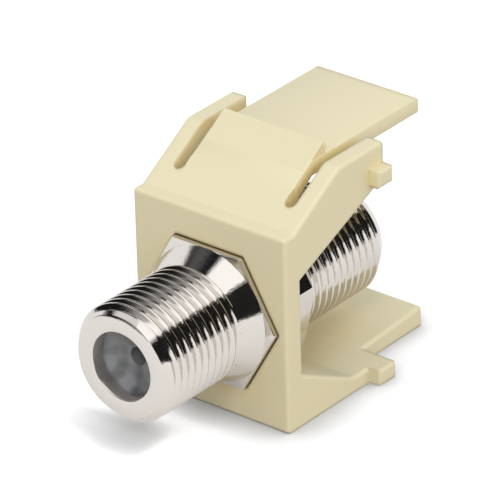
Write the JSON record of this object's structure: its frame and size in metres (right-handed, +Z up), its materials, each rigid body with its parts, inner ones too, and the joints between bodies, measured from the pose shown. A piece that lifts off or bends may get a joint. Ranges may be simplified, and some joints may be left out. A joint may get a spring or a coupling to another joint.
{
  "type": "f connector wall-plate insert",
  "caption": "Ivory snap-in wall-plate insert holding a nickel-plated double-ended F coaxial coupler, with a sprung latch on top.",
  "frame": {"origin": "where the coupler's axis crosses the insert's front face", "axes": "+X to the right seen from the front, +Y along the coupler's axis to the rear, +Z up"},
  "size_m": [0.0164, 0.03, 0.0206],
  "materials": {
    "ivory_plastic": "fine satin moulded surface",
    "nickel_plate": "bright nickel plating",
    "insulator_plastic": "smooth moulded surface",
    "contact_bronze": "plain sprung metal"
  },
  "bodies": {
    "insert": {"housing": "ivory_plastic", "barrel": "nickel_plate", "hex_nut": "nickel_plate", "front_insulator": "insulator_plastic", "rear_insulator": "insulator_plastic", "centre_contact": "contact_bronze"},
    "latch": {"snap_latch": "ivory_plastic"}
  },
  "joints": [
    {"name": "latch_press", "type": "hinge", "parent": "insert", "child": "latch", "pos_m": [0, 0.00421, 0.00943], "axis": [-1, 0, 0], "range_deg": [0, 12], "stiffness_Nm_per_rad": 0.4}
  ]
}
